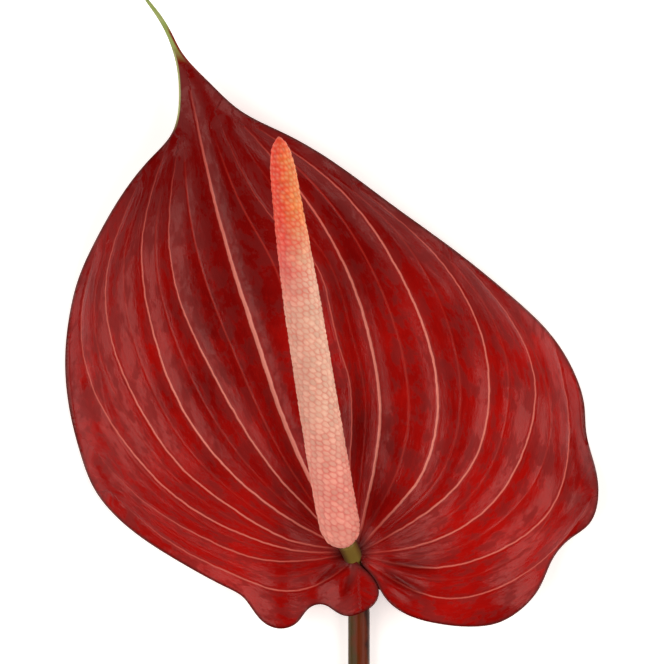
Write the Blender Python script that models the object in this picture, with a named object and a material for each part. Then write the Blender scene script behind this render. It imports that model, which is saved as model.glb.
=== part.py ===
import math

import bmesh
import bpy
import numpy as np
from mathutils import Vector
from mathutils.geometry import delaunay_2d_cdt

# A cut anthurium lying on its back: stem, heart-shaped spathe and spadix.
# Lengths are millimetres until a mesh is made. The blade's outline starts from
# the junction of stem and spathe, x to the right and y towards the tip.
MM = 0.001
TRACE_STEP = 1.0

STEM_LENGTH = 286.0
STEM_RADIUS = 2.75
STIPE_RADIUS = 2.45
STEM_SIDES_RESOLUTION = 3
# Course of the stem's axis: along the table, up through the sinus, to the spadix.
STEM_COURSE = (
    (1.6, -STEM_LENGTH, STEM_RADIUS),
    (0.2, -190.0, STEM_RADIUS),
    (-0.9, -110.0, STEM_RADIUS),
    (0.1, -52.0, STEM_RADIUS),
    (0.0, -27.0, 2.8),
    (0.0, -16.0, 3.3),
    (-0.1, -9.0, 4.4),
    (-0.5, -3.5, 5.9),
    (-1.2, 0.4, 8.2),
    (-2.2, 3.0, 11.2),
    (-3.0, 4.6, 13.9),
    (-3.5, 5.4, 15.5),
)
# The stem narrows into the stipe over this stretch of y.
STIPE_START_Y = -14.0
STIPE_END_Y = 0.0
# Its rings stand close together where it bends, past this y.
STEM_BEND_Y = -40.0
STEM_COARSE_STEP = 12
STEM_FINE_STEP = 3

BLADE_THICKNESS = 0.8
BLADE_GRID_STEP = 2.7
MARGIN_STEP = 2.4
HOLE_STEP = 1.3
# Grid points keep this share of a grid step from the edge.
EDGE_CLEARANCE = 0.55
WELD_DISTANCE = 1e-5
# The hole at the junction, an ellipse round the slanting stem.
HOLE_CENTRE = (-1.6, 2.1)
HOLE_RADII = (3.1, 4.1)
HOLE_START_DEG = -38.0
HOLE_END_DEG = 300.0
# The edge of the blade, from the sinus round the left lobe to the drip tip.
LEFT_MARGIN = (
    (0.0, -1.5), (0.9, -2.3), (2.4, -3.6), (3.6, -5.3), (4.3, -7.6), (3.9, -10.0),
    (0.8, -12.6), (-3.5, -13.5), (-6.3, -12.2), (-8.6, -10.9), (-10.9, -10.9),
    (-13.0, -12.2), (-15.4, -15.2), (-19.4, -16.8), (-23.4, -15.6), (-26.5, -12.3),
    (-29.2, -8.9), (-33.0, -6.7), (-44.8, -0.4), (-61.5, 11.5), (-66.5, 17.8),
    (-70.2, 27.0), (-73.0, 38.5), (-74.0, 50.5), (-73.2, 60.0), (-70.6, 71.0),
    (-66.0, 81.0), (-59.2, 92.5), (-51.8, 101.6), (-46.8, 107.6), (-45.3, 113.5),
    (-45.2, 119.5), (-45.7, 124.0), (-46.7, 128.0), (-48.6, 132.8), (-50.9, 136.8),
    (-53.6, 140.6),
)
# The edge from the drip tip down the right side to the sinus.
RIGHT_MARGIN = (
    (-52.9, 141.0), (-49.6, 136.9), (-47.1, 132.8), (-44.6, 128.0), (-41.2, 123.8),
    (-36.9, 119.5), (-30.5, 113.6), (-18.8, 107.4), (-8.2, 101.4), (8.2, 89.6),
    (25.0, 77.4), (39.5, 65.6), (48.6, 56.6), (54.2, 47.5), (56.9, 38.5),
    (57.3, 32.5), (59.5, 23.5), (60.2, 16.8), (57.8, 9.2), (53.0, 5.4),
    (48.6, 0.2), (45.4, -6.5), (40.0, -12.5), (34.8, -15.4), (29.0, -16.3),
    (19.8, -15.5), (11.2, -12.8), (7.8, -10.4), (5.4, -7.2), (4.3, -4.9), (2.9, -3.0),
    (1.7, -1.7), (0.9, -0.5),
)

# Height of the upper face: a funnel at the junction, then a broad crest.
JUNCTION_HEIGHT = 11.0
CREST_RISE = 5.5
FUNNEL_RADIUS = 4.0
FUNNEL_SPREAD = 13.0
# How far the margin falls back, by direction from the junction in degrees.
MARGIN_FALL = (
    (-72, 0.8), (-49, 2.5), (-24, 6.5), (-5, 9.0), (15, 12.5), (42, 16.4),
    (60, 13.5), (90, 9.0), (110, 7.5), (125, 11.0), (146, 16.8), (165, 14.5),
    (190, 8.5), (215, 5.5), (240, 3.0), (262, 1.2), (292, 0.4),
)
FALL_SPREAD = 10.0
FALL_START = 9.0
# The underside follows the slope, taken over this distance, up to a steepest one.
SLOPE_PROBE = 0.2
STEEPEST_SLOPE = 1.6
# Waves in the right margin.
WAVE_HEIGHT = 1.5
WAVE_PITCH_DEG = 30.0
WAVE_CREST_DEG = 15.0
WAVE_REACH_DEG = 38.0
WAVE_SPREAD = 7.0
# Swells and hollows of the lobes: x, y, radius, height.
SWELLS = (
    (-1.0, -8.0, 5.0, 1.2),
    (-10.5, -8.0, 3.8, -0.9),
    (-20.0, -11.0, 6.5, 0.9),
    (16.0, -7.5, 7.0, 1.8),
    (31.0, -9.0, 8.0, 1.2),
    (9.5, -1.0, 3.6, -1.4),
)
# Where the margin lies on the table, its underside swells to a flat spot: x and y.
REST_SPOTS = ((-72.4, 50.0), (55.4, 42.0))
REST_RADIUS = 3.2
REST_DROP = 4.5
# The blade sinks along its main veins and swells between them.
VEIN_DEPTH = 0.5
VEIN_SPREAD = 2.3
VEIN_START = 12.0
VEINS = (
    ((-3, 3), (-12.8, 21.8), (-18.8, 35.5), (-25.5, 55.5), (-30.5, 70.5), (-35, 86),
     (-38.8, 101.8), (-42.2, 118)),
    ((-3.5, 3.5), (-12, 12.5), (-19.5, 20.5), (-30, 35.5), (-38.2, 50.5), (-44.8, 65.5),
     (-47.5, 81.8), (-45.8, 101)),
    ((-4, 3.5), (-12.8, 8), (-24.2, 15.5), (-35, 25.5), (-45.2, 40.5), (-52.2, 60.5),
     (-54.2, 80.5), (-49, 101.8)),
    ((-4, 3), (-17.5, 5.5), (-31, 13), (-43.8, 23), (-54.5, 38), (-61.2, 53),
     (-63.5, 68), (-56, 93.5)),
    ((-4, 2.5), (-8.5, 2.2), (-29, 6.8), (-44.8, 15.5), (-57.2, 28), (-66.5, 43),
     (-69.8, 60.5), (-66.5, 76.5)),
    ((-4, 1.5), (-24, 0.5), (-38, 5.5), (-54.5, 15.5), (-64.5, 25.5)),
    ((-3, -1), (-12.2, -6.5), (-20.2, -7.2), (-28.5, -4.5), (-47.8, 5), (-59.8, 14.8)),
    ((-1.5, 5), (-2.2, 25.5), (-2.5, 45.5), (-5.8, 56.8), (-10.8, 74.2), (-20.8, 85),
     (-34.2, 108.5)),
    ((-0.5, 4), (3.2, 20.5), (5.2, 35), (3.8, 50.5), (-2, 70.5), (-13.2, 90.5),
     (-28.5, 108.8)),
    ((0.5, 3.5), (6.5, 10.5), (14.8, 20.5), (19.5, 36), (18.5, 50.5), (11, 70.5),
     (-2.2, 90.5), (-25.2, 108.5)),
    ((1.5, 3), (10.2, 8), (20.8, 15.5), (28.8, 25.5), (32.5, 42), (31, 55.5),
     (20.2, 75.5), (0.8, 93)),
    ((2, 2), (12.8, 3.5), (24.5, 8), (34, 15.5), (40.2, 25.5), (44, 45.5), (41, 55.5),
     (25.8, 75.5)),
    ((2.5, 1), (16.5, -1.5), (35.2, 3), (47, 11.8), (52.8, 30.5), (49, 55.5)),
    ((3, -1), (20.2, -9), (39, -4.5), (51.5, 5.5), (57.8, 14.2)),
)

# Spadix: axis from foot to tip, and radius along it as (share of length, radius).
SPADIX_COURSE = (
    (-3.8, 5.9, 16.4), (-4.6, 8.6, 19.2), (-6.3, 17.0, 23.0), (-10.3, 40.5, 28.4),
    (-15.0, 70.5, 33.8), (-18.4, 94.0, 38.0), (-19.8, 105.2, 40.0),
)
SPADIX_PROFILE = (
    (0.0, 2.9), (0.02, 4.3), (0.05, 4.9), (0.2, 4.9), (0.4, 4.7), (0.6, 4.45),
    (0.75, 3.9), (0.85, 3.45), (0.93, 3.0), (0.97, 2.3), (0.99, 1.4), (1.0, 0.5),
)
FLORETS_AROUND = 18
FLORET_ROWS = 74
FLORET_RELIEF_FOOT = 0.16
FLORET_RELIEF_TIP = 0.3
FLORET_SPIRAL_TURNS = 1.5
SPADIX_TIP_RISE = 0.4


def cubic(knots, values, at):
    """Natural cubic curve through values at the knots, read at the given places."""
    knots = np.asarray(knots, float)
    values = np.asarray(values, float)
    at = np.asarray(at, float)
    shape = values.shape[1:]
    values = values.reshape(len(knots), -1)
    step = np.diff(knots)
    system = np.eye(len(knots))
    bend = np.zeros_like(values)
    for i in range(1, len(knots) - 1):
        system[i, i - 1:i + 2] = step[i - 1], 2 * (step[i - 1] + step[i]), step[i]
        after = (values[i + 1] - values[i]) / step[i]
        before = (values[i] - values[i - 1]) / step[i - 1]
        bend[i] = 6 * (after - before)
    curve = np.linalg.solve(system, bend)
    i = np.clip(np.searchsorted(knots, at) - 1, 0, len(knots) - 2)
    past = (at - knots[i])[:, None]
    left = (knots[i + 1] - at)[:, None]
    width = step[i][:, None]
    bent = (curve[i] * left ** 3 + curve[i + 1] * past ** 3) / (6 * width)
    low = (values[i] / width - curve[i] * width / 6) * left
    high = (values[i + 1] / width - curve[i + 1] * width / 6) * past
    return (bent + low + high).reshape((len(at),) + shape)


def chord_knots(points):
    """Running length of the polyline through the points."""
    gaps = np.linalg.norm(np.diff(points, axis=0), axis=1)
    return np.concatenate([[0.0], np.cumsum(gaps)])


def smooth_line(points, spacing):
    """Smooth curve through the points, resampled at about the given spacing."""
    points = np.asarray(points, float)
    knots = chord_knots(points)
    dense = cubic(knots, points, np.linspace(0.0, knots[-1], 40 * len(points)))
    run = chord_knots(dense)
    count = max(3, round(run[-1] / spacing) + 1)
    even = np.linspace(0.0, run[-1], count)
    columns = [np.interp(even, run, dense[:, axis]) for axis in range(points.shape[1])]
    return np.stack(columns, axis=1)


def distance_to_line(points, line):
    """Shortest distance from each point to a polyline."""
    nearest = np.full(len(points), np.inf)
    for start, end in zip(line[:-1], line[1:]):
        along = end - start
        share = np.clip(((points - start) @ along) / (along @ along), 0.0, 1.0)
        gap = points - start - share[:, None] * along
        nearest = np.minimum(nearest, np.hypot(gap[:, 0], gap[:, 1]))
    return nearest


def blade_margin(spacing):
    """The free edge of the blade, from the sinus round to the sinus."""
    return np.concatenate([smooth_line(part, spacing) for part in (LEFT_MARGIN, RIGHT_MARGIN)])


def hole_edge(spacing):
    """The edge of the hole round the stem, back from right to left of the sinus."""
    length = math.radians(HOLE_END_DEG - HOLE_START_DEG) * sum(HOLE_RADII) / 2
    count = round(length / spacing)
    turns = np.radians(np.linspace(HOLE_START_DEG, HOLE_END_DEG, count)[1:-1])
    x = HOLE_CENTRE[0] + HOLE_RADII[0] * np.cos(turns)
    y = HOLE_CENTRE[1] + HOLE_RADII[1] * np.sin(turns)
    return np.stack([x, y], axis=1)


def blade_top(points, margin):
    """Height of the blade's upper face above the table."""
    x, y = points[:, 0], points[:, 1]
    radius = np.hypot(x, y)
    rise = 1.0 - np.exp(-np.maximum(radius - FUNNEL_RADIUS, 0.0) / FUNNEL_SPREAD)
    height = JUNCTION_HEIGHT + CREST_RISE * rise
    turn = np.degrees(np.arctan2(y, x))
    turn = np.where(turn < MARGIN_FALL[0][0], turn + 360.0, turn)
    table = np.array(MARGIN_FALL, float)
    fall = cubic(table[:, 0], table[:, 1], np.clip(turn, table[0, 0], table[-1, 0]))
    inward = distance_to_line(points, margin)
    fall *= 1.0 - np.exp(-(radius / FALL_START) ** 2)
    height -= fall * np.exp(-inward / FALL_SPREAD)
    wave = np.cos(2 * math.pi * (turn - WAVE_CREST_DEG) / WAVE_PITCH_DEG)
    wave *= np.exp(-((turn - WAVE_CREST_DEG) / WAVE_REACH_DEG) ** 2)
    height += WAVE_HEIGHT * wave * np.exp(-inward / WAVE_SPREAD)
    for centre_x, centre_y, spread, swell in SWELLS:
        apart = (x - centre_x) ** 2 + (y - centre_y) ** 2
        height += swell * np.exp(-apart / spread ** 2)
    to_vein = np.full(len(points), np.inf)
    for vein in VEINS:
        to_vein = np.minimum(to_vein, distance_to_line(points, smooth_line(vein, 2 * TRACE_STEP)))
    fade = 1.0 - np.exp(-(radius / VEIN_START) ** 2)
    height -= VEIN_DEPTH * fade * np.exp(-(to_vein / VEIN_SPREAD) ** 2)
    return height


def inside(points, ring):
    """Which points lie within a closed ring."""
    hit = np.zeros(len(points), bool)
    x, y = points[:, 0], points[:, 1]
    for (ax, ay), (bx, by) in zip(ring, np.roll(ring, -1, axis=0)):
        if ay == by:
            continue
        crosses = (ay > y) != (by > y)
        hit ^= crosses & (x < (bx - ax) * (y - ay) / (by - ay) + ax)
    return hit


def blade_plan(margin_spacing, hole_spacing, grid_spacing):
    """Points and triangles of the blade seen from above; the edge comes first."""
    ring = np.concatenate([blade_margin(margin_spacing), hole_edge(hole_spacing)])
    low, high = ring.min(axis=0), ring.max(axis=0)
    rows = np.arange(low[1], high[1], grid_spacing * math.sqrt(3) / 2)
    grid = []
    for number, y in enumerate(rows):
        shift = (number % 2) * grid_spacing / 2
        for x in np.arange(low[0] + shift, high[0], grid_spacing):
            grid.append((x, y))
    grid = np.array(grid)
    grid = grid[inside(grid, ring)]
    closed = np.concatenate([ring, ring[:1]])
    grid = grid[distance_to_line(grid, closed) > grid_spacing * EDGE_CLEARANCE]
    plan = np.concatenate([ring, grid])
    seeds = [Vector((float(x), float(y))) for x, y in plan]
    edge = list(range(len(ring)))
    verts, _, faces, _, _, _ = delaunay_2d_cdt(seeds, [], [edge], 1, WELD_DISTANCE)
    return np.array([tuple(v) for v in verts]), [tuple(face) for face in faces]


def rim_edges(faces):
    """Directed edges that only one triangle uses."""
    used = {}
    for face in faces:
        for start, end in zip(face, face[1:] + face[:1]):
            used[start, end] = True
    return [pair for pair in used if (pair[1], pair[0]) not in used]


def make_mesh(name, verts, faces):
    """Mesh object from millimetre points, with its faces turned outwards."""
    shell = bmesh.new()
    made = [shell.verts.new([float(c) * MM for c in vert]) for vert in verts]
    for face in faces:
        shell.faces.new([made[i] for i in face])
    bmesh.ops.recalc_face_normals(shell, faces=shell.faces[:])
    mesh = bpy.data.meshes.new(name)
    shell.to_mesh(mesh)
    shell.free()
    return bpy.data.objects.new(name, mesh)


def build_spathe():
    """The heart-shaped blade: two faces with the same triangles and a rim between."""
    plan, faces = blade_plan(MARGIN_STEP, HOLE_STEP, BLADE_GRID_STEP)
    margin = blade_margin(TRACE_STEP)
    top = blade_top(plan, margin)
    slope_x = (blade_top(plan + (SLOPE_PROBE, 0.0), margin) - top) / SLOPE_PROBE
    slope_y = (blade_top(plan + (0.0, SLOPE_PROBE), margin) - top) / SLOPE_PROBE
    slope = np.minimum(np.hypot(slope_x, slope_y), STEEPEST_SLOPE)
    bottom = top - BLADE_THICKNESS * np.hypot(1.0, slope)
    for spot in REST_SPOTS:
        apart = np.linalg.norm(plan - spot, axis=1)
        bottom -= REST_DROP * np.exp(-(apart / REST_RADIUS) ** 2)
    bottom = np.maximum(bottom, 0.0)
    top = np.maximum(top, bottom + BLADE_THICKNESS)
    count = len(plan)
    verts = [(x, y, z) for (x, y), z in zip(plan, top)]
    verts += [(x, y, z) for (x, y), z in zip(plan, bottom)]
    shell = list(faces)
    shell += [tuple(i + count for i in reversed(face)) for face in faces]
    for start, end in rim_edges(faces):
        shell.append((end, start, start + count))
        shell.append((end, start + count, end + count))
    return make_mesh("spathe", verts, shell)


def build_stem():
    """The peduncle as a bevelled curve, closed at both ends."""
    course = smooth_line(STEM_COURSE, TRACE_STEP)
    y = course[:, 1]
    straight = np.nonzero(y <= STEM_BEND_Y)[0][::STEM_COARSE_STEP]
    bent = np.nonzero(y > STEM_BEND_Y)[0][::STEM_FINE_STEP]
    chosen = np.unique(np.concatenate([straight, bent, [len(course) - 1]]))
    curve = bpy.data.curves.new("stem", "CURVE")
    curve.dimensions = "3D"
    curve.bevel_depth = STEM_RADIUS * MM
    curve.bevel_resolution = STEM_SIDES_RESOLUTION
    curve.use_fill_caps = True
    line = curve.splines.new("POLY")
    line.points.add(len(chosen) - 1)
    narrowing = STIPE_RADIUS / STEM_RADIUS
    for point, i in zip(line.points, chosen):
        share = (y[i] - STIPE_START_Y) / (STIPE_END_Y - STIPE_START_Y)
        share = min(max(share, 0.0), 1.0)
        point.co = [float(c) * MM for c in course[i]] + [1.0]
        point.radius = 1.0 + (narrowing - 1.0) * share
    return bpy.data.objects.new("stem", curve)


def build_spadix():
    """The spike of florets: a net of raised and sunken points round the axis."""
    columns = 2 * FLORETS_AROUND
    shares = np.linspace(0.0, 1.0, FLORET_ROWS + 1)
    knots = chord_knots(np.array(SPADIX_COURSE))
    axis = cubic(knots, SPADIX_COURSE, shares * knots[-1])
    tangents = np.gradient(axis, axis=0)
    tangents /= np.linalg.norm(tangents, axis=1)[:, None]
    profile = np.array(SPADIX_PROFILE)
    radii = np.interp(shares, profile[:, 0], profile[:, 1])
    verts = [axis[0]]
    for row, (centre, along) in enumerate(zip(axis, tangents)):
        side = np.cross(along, (0.0, 0.0, 1.0))
        side /= np.linalg.norm(side)
        up = np.cross(side, along)
        share = shares[row]
        relief = FLORET_RELIEF_FOOT + (FLORET_RELIEF_TIP - FLORET_RELIEF_FOOT) * share
        relief *= radii[row] / max(radii)
        for column in range(columns):
            turn = 2 * math.pi * (column / columns + FLORET_SPIRAL_TURNS * share)
            raised = 1.0 if (row + column) % 2 == 0 else -1.0
            reach = radii[row] + relief * raised
            verts.append(centre + reach * (math.cos(turn) * side + math.sin(turn) * up))
    verts.append(axis[-1] + tangents[-1] * SPADIX_TIP_RISE)
    faces = []
    for row in range(FLORET_ROWS):
        for column in range(columns):
            after = (column + 1) % columns
            low = 1 + row * columns
            high = low + columns
            corners = (low + column, low + after, high + after, high + column)
            if (row + column) % 2 == 0:
                faces += [(corners[0], corners[1], corners[3])]
                faces += [(corners[1], corners[2], corners[3])]
            else:
                faces += [(corners[0], corners[1], corners[2])]
                faces += [(corners[0], corners[2], corners[3])]
    last = 1 + FLORET_ROWS * columns
    for column in range(columns):
        after = (column + 1) % columns
        faces.append((0, 1 + after, 1 + column))
        faces.append((len(verts) - 1, last + column, last + after))
    return make_mesh("spadix", verts, faces)


def surface(name, colour, roughness):
    """Plain opaque material."""
    material = bpy.data.materials.new(name)
    material.use_nodes = True
    shader = material.node_tree.nodes["Principled BSDF"]
    shader.inputs["Base Color"].default_value = (*colour, 1.0)
    shader.inputs["Roughness"].default_value = roughness
    shader.inputs["Metallic"].default_value = 0.0
    material.diffuse_color = (*colour, 1.0)
    return material


def main():
    for old in list(bpy.data.objects):
        bpy.data.objects.remove(old, do_unlink=True)
    collection = bpy.data.collections.new("anthurium_stem")
    bpy.context.scene.collection.children.link(collection)
    holder = bpy.data.objects.new("anthurium_stem", None)
    collection.objects.link(holder)
    parts = [
        (build_stem(), surface("stem_green", (0.09, 0.07, 0.02), 0.45)),
        (build_spathe(), surface("spathe_red", (0.35, 0.004, 0.004), 0.22)),
        (build_spadix(), surface("spadix_florets", (0.72, 0.26, 0.13), 0.5)),
    ]
    for part, material in parts:
        part.data.materials.append(material)
        part.parent = holder
        collection.objects.link(part)
    bpy.context.view_layer.update()
    corners = [Vector(c) for part, _ in parts for c in part.bound_box]
    for axis in (0, 1):
        values = [corner[axis] for corner in corners]
        holder.location[axis] = -(min(values) + max(values)) / 2
    holder.location[2] = -min(corner[2] for corner in corners)


main()
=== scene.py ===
import math

import bmesh
import bpy
import numpy as np
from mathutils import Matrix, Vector
from mathutils.geometry import delaunay_2d_cdt


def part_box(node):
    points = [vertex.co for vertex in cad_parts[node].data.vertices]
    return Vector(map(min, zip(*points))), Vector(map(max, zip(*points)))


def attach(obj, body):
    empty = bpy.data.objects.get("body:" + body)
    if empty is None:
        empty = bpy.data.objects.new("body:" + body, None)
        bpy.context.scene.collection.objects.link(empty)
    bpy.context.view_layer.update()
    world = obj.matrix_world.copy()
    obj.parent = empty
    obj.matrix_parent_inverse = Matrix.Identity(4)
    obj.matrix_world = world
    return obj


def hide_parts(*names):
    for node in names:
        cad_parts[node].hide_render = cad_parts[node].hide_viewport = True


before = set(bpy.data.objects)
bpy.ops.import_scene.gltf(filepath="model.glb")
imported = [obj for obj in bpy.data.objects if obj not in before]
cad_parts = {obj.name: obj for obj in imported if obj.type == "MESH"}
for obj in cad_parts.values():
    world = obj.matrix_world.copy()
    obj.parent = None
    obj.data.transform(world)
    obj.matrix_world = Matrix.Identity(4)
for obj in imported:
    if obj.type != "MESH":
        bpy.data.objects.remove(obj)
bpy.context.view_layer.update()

mm = 0.001
# Where most of a noise texture's values lie.
noiseSpan = (0.3, 0.7)

# The blade's outline and veins start at the junction of stem and spathe, in millimetres,
# x to the right and y towards the tip, as in the solids.
blade = {
    "thickness": 0.8,
    "gridStep": 0.62,
    "marginStep": 0.5,
    "holeStep": 0.5,
    "holeCentre": (-2.0, 2.6),
    "holeRadii": (2.2, 2.4),
    "holeTurn": (-38.0, 300.0),
    "leftMargin": (
        (-0.3, -0.2), (1.0, -1.6), (2.75, -3.1), (4.1, -4.95), (5.0, -7.3), (4.25, -10.0),
        (0.8, -12.6), (-3.5, -13.5), (-6.3, -12.2), (-8.6, -10.9), (-10.9, -10.9),
        (-13.0, -12.2), (-15.4, -15.2), (-19.4, -16.8), (-23.4, -15.6), (-26.5, -12.3),
        (-29.2, -8.9), (-33.0, -6.7), (-44.8, -0.4), (-61.5, 11.5), (-66.5, 17.8),
        (-70.2, 27.0), (-73.0, 38.5), (-74.0, 50.5), (-73.2, 60.0), (-70.6, 71.0),
        (-66.0, 81.0), (-59.2, 92.5), (-51.8, 101.6), (-46.8, 107.6), (-45.3, 113.5),
        (-45.2, 119.5), (-45.7, 124.0), (-46.7, 128.0), (-48.6, 132.8), (-50.9, 136.8),
        (-53.6, 140.6),
    ),
    "rightMargin": (
        (-52.9, 141.0), (-49.6, 136.9), (-47.1, 132.8), (-44.6, 128.0), (-41.2, 123.8),
        (-36.9, 119.5), (-30.5, 113.6), (-18.8, 107.4), (-8.2, 101.4), (8.2, 89.6),
        (25.0, 77.4), (39.5, 65.6), (48.6, 56.6), (54.2, 47.5), (56.9, 38.5),
        (57.3, 32.5), (59.5, 23.5), (60.2, 16.8), (57.8, 9.2), (53.0, 5.4),
        (48.6, 0.2), (45.4, -6.5), (40.0, -12.5), (34.8, -15.4), (29.0, -16.3),
        (19.8, -15.5), (11.2, -12.8), (7.8, -10.4), (5.4, -7.2), (4.3, -4.9), (2.9, -3.0),
        (1.5, -1.5), (0.3, 0.2),
    ),
    "junctionHeight": 11.0,
    "crestRise": 5.5,
    "funnelRadius": 4.0,
    "funnelSpread": 13.0,
    "marginFall": (
        (-72, 0.8), (-49, 2.5), (-24, 6.5), (-5, 9.0), (15, 12.5), (42, 16.4),
        (60, 13.5), (90, 9.0), (110, 7.5), (125, 11.0), (146, 16.8), (165, 14.5),
        (190, 8.5), (215, 5.5), (240, 3.0), (262, 1.2), (292, 0.4),
    ),
    "fallSpread": 10.0,
    "fallStart": 9.0,
    "waveHeight": 1.5,
    "wavePitch": 30.0,
    "waveCrest": 15.0,
    "waveReach": 38.0,
    "waveSpread": 7.0,
    "swells": (
        (-1.0, -8.0, 5.0, 1.2),
        (-10.5, -8.0, 3.8, -0.6),
        (-20.0, -11.0, 6.5, 0.4),
        (16.0, -7.5, 7.0, 1.8),
        (31.0, -9.0, 8.0, 1.2),
        (9.5, -1.0, 3.6, -1.4),
    ),
    # The right lobe's edge runs on under the left one over this share of its line, to
    # both sides of the edge and this far below the upper face.
    "tuckShare": 0.036,
    "tuckSides": (1.6, -2.6),
    "tuckDrop": 1.5,
    "tuckThickness": 0.5,
    "tuckRows": 6,
    "tuckTaper": 3.0,
    "tuckShade": 0.9,
    # What a place is given that lies near no vein or edge, in millimetres.
    "farOff": 9.0,
    # Folds that run out from the junction: start, end, width and height in millimetres.
    "folds": (
        ((3.0, -0.6), (17.8, -8.8), 0.9, -1.3),
        ((2.6, 0.8), (20.2, -2.0), 0.9, -0.8),
        ((4.3, -3.4), (16.0, -11.0), 1.2, 0.9),
        ((-3.6, 0.2), (-12.0, -6.0), 1.1, -0.9),
        ((-1.6, -1.0), (-4.0, -10.0), 1.1, -0.8),
    ),
    "restSpots": ((-72.4, 50.0), (55.4, 42.0)),
    "restRadius": 3.2,
    "restDrop": 4.5,
    "slopeProbe": 0.1,
    "smoothRounds": 40,
    "steepestSlope": 1.6,
    "veinDepth": 0.7,
    "veinSpread": 2.3,
    "veinStart": 12.0,
    "thinDepth": 0.14,
    "thinSpread": 1.3,
    "veins": (
        ((-3, 3), (-12.8, 21.8), (-18.8, 35.5), (-25.5, 55.5), (-30.5, 70.5), (-35, 86),
         (-38.8, 101.8), (-42.2, 118)),
        ((-3.5, 3.5), (-12, 12.5), (-19.5, 20.5), (-30, 35.5), (-38.2, 50.5), (-44.8, 65.5),
         (-47.5, 81.8), (-45.8, 101)),
        ((-4, 3.5), (-12.8, 8), (-24.2, 15.5), (-35, 25.5), (-45.2, 40.5), (-52.2, 60.5),
         (-54.2, 80.5), (-49, 101.8)),
        ((-4, 3), (-17.5, 5.5), (-31, 13), (-43.8, 23), (-54.5, 38), (-61.2, 53),
         (-63.5, 68), (-56, 93.5)),
        ((-4, 2.5), (-8.5, 2.2), (-29, 6.8), (-44.8, 15.5), (-57.2, 28), (-66.5, 43),
         (-69.8, 60.5), (-66.5, 76.5)),
        ((-4, 1.5), (-24, 0.5), (-38, 5.5), (-54.5, 15.5), (-64.5, 25.5)),
        ((-3, -1), (-12.2, -6.5), (-20.2, -7.2), (-28.5, -4.5), (-47.8, 5), (-59.8, 14.8)),
        ((-1.5, 5), (-2.2, 25.5), (-2.5, 45.5), (-5.8, 56.8), (-10.8, 74.2), (-20.8, 85),
         (-34.2, 108.5)),
        ((-0.5, 4), (3.2, 20.5), (5.2, 35), (3.8, 50.5), (-2, 70.5), (-13.2, 90.5),
         (-28.5, 108.8)),
        ((0.5, 3.5), (6.5, 10.5), (14.8, 20.5), (19.5, 36), (18.5, 50.5), (11, 70.5),
         (-2.2, 90.5), (-25.2, 108.5)),
        ((1.5, 3), (10.2, 8), (20.8, 15.5), (28.8, 25.5), (32.5, 42), (31, 55.5),
         (20.2, 75.5), (0.8, 93)),
        ((2, 2), (12.8, 3.5), (24.5, 8), (34, 15.5), (40.2, 25.5), (44, 45.5), (41, 55.5),
         (25.8, 75.5)),
        ((2.5, 1), (16.5, -1.5), (35.2, 3), (47, 11.8), (52.8, 30.5), (49, 55.5)),
        ((3, -1), (20.2, -9), (39, -4.5), (51.5, 5.5), (57.8, 14.2)),
    ),
    # Each main vein's place from left to right, half the width of its line in
    # millimetres, and how pale it is, from 0 to 1.
    "veinLines": (
        (6, 0.46, 1.0), (5, 0.19, 0.75), (4, 0.2, 0.75), (3, 0.17, 0.6), (2, 0.16, 0.5),
        (1, 0.13, 0.35), (0, 0.14, 0.38), (7, 0.12, 0.3), (8, 0.29, 0.85), (9, 0.24, 0.8),
        (10, 0.18, 0.6), (11, 0.16, 0.55), (12, 0.15, 0.45), (13, 0.13, 0.35),
    ),
    # The finer vein between each two neighbours: how strong it is, from left to right.
    "thinLines": (0.3, 0.35, 0.4, 0.45, 0.5, 0.9, 0.8, 0.4, 0.9, 0.5, 0.45, 0.4, 0.3),
    # How a vein's line widens from its start and narrows to its end, as shares of its length.
    "startRun": 0.05,
    "startWidth": 0.5,
    "endWidth": 0.45,
    "endTaper": (0.95, 0.45),
    # How a vein pales out towards its end, and near the junction in millimetres.
    "paleRun": 0.5,
    "paleRadii": (4.0, 18.0),
    "paleLeast": 0.12,
    "thinSpan": (0.05, 0.95),
    "thinPoints": 60,
    "thinRun": 0.12,
    # Steps of the pattern that runs along the veins: between two of them, outside the
    # last one, and from the upper to the lower face.
    "flowPitch": 9.0,
    "flowOutside": 12.0,
    "flowBack": 40.0,
}


def rise(values, start, run):
    # 0 up to the start and 1 from a run further on, or the other way for a negative run
    return np.clip((values - start) / run, 0.0, 1.0)


def cubic(knots, values, at):
    # natural cubic curve through values at the knots, read at the given places
    knots, values, at = (np.asarray(part, float) for part in (knots, values, at))
    shape = values.shape[1:]
    values = values.reshape(len(knots), -1)
    step = np.diff(knots)
    system = np.eye(len(knots))
    bend = np.zeros_like(values)
    for i in range(1, len(knots) - 1):
        system[i, i - 1:i + 2] = step[i - 1], 2 * (step[i - 1] + step[i]), step[i]
        after = (values[i + 1] - values[i]) / step[i]
        before = (values[i] - values[i - 1]) / step[i - 1]
        bend[i] = 6 * (after - before)
    curve = np.linalg.solve(system, bend)
    i = np.clip(np.searchsorted(knots, at) - 1, 0, len(knots) - 2)
    past = (at - knots[i])[:, None]
    left = (knots[i + 1] - at)[:, None]
    width = step[i][:, None]
    bent = (curve[i] * left ** 3 + curve[i + 1] * past ** 3) / (6 * width)
    low = (values[i] / width - curve[i] * width / 6) * left
    high = (values[i + 1] / width - curve[i + 1] * width / 6) * past
    return (bent + low + high).reshape((len(at),) + shape)


def chordKnots(points):
    gaps = np.linalg.norm(np.diff(points, axis=0), axis=1)
    return np.concatenate([[0.0], np.cumsum(gaps)])


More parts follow.
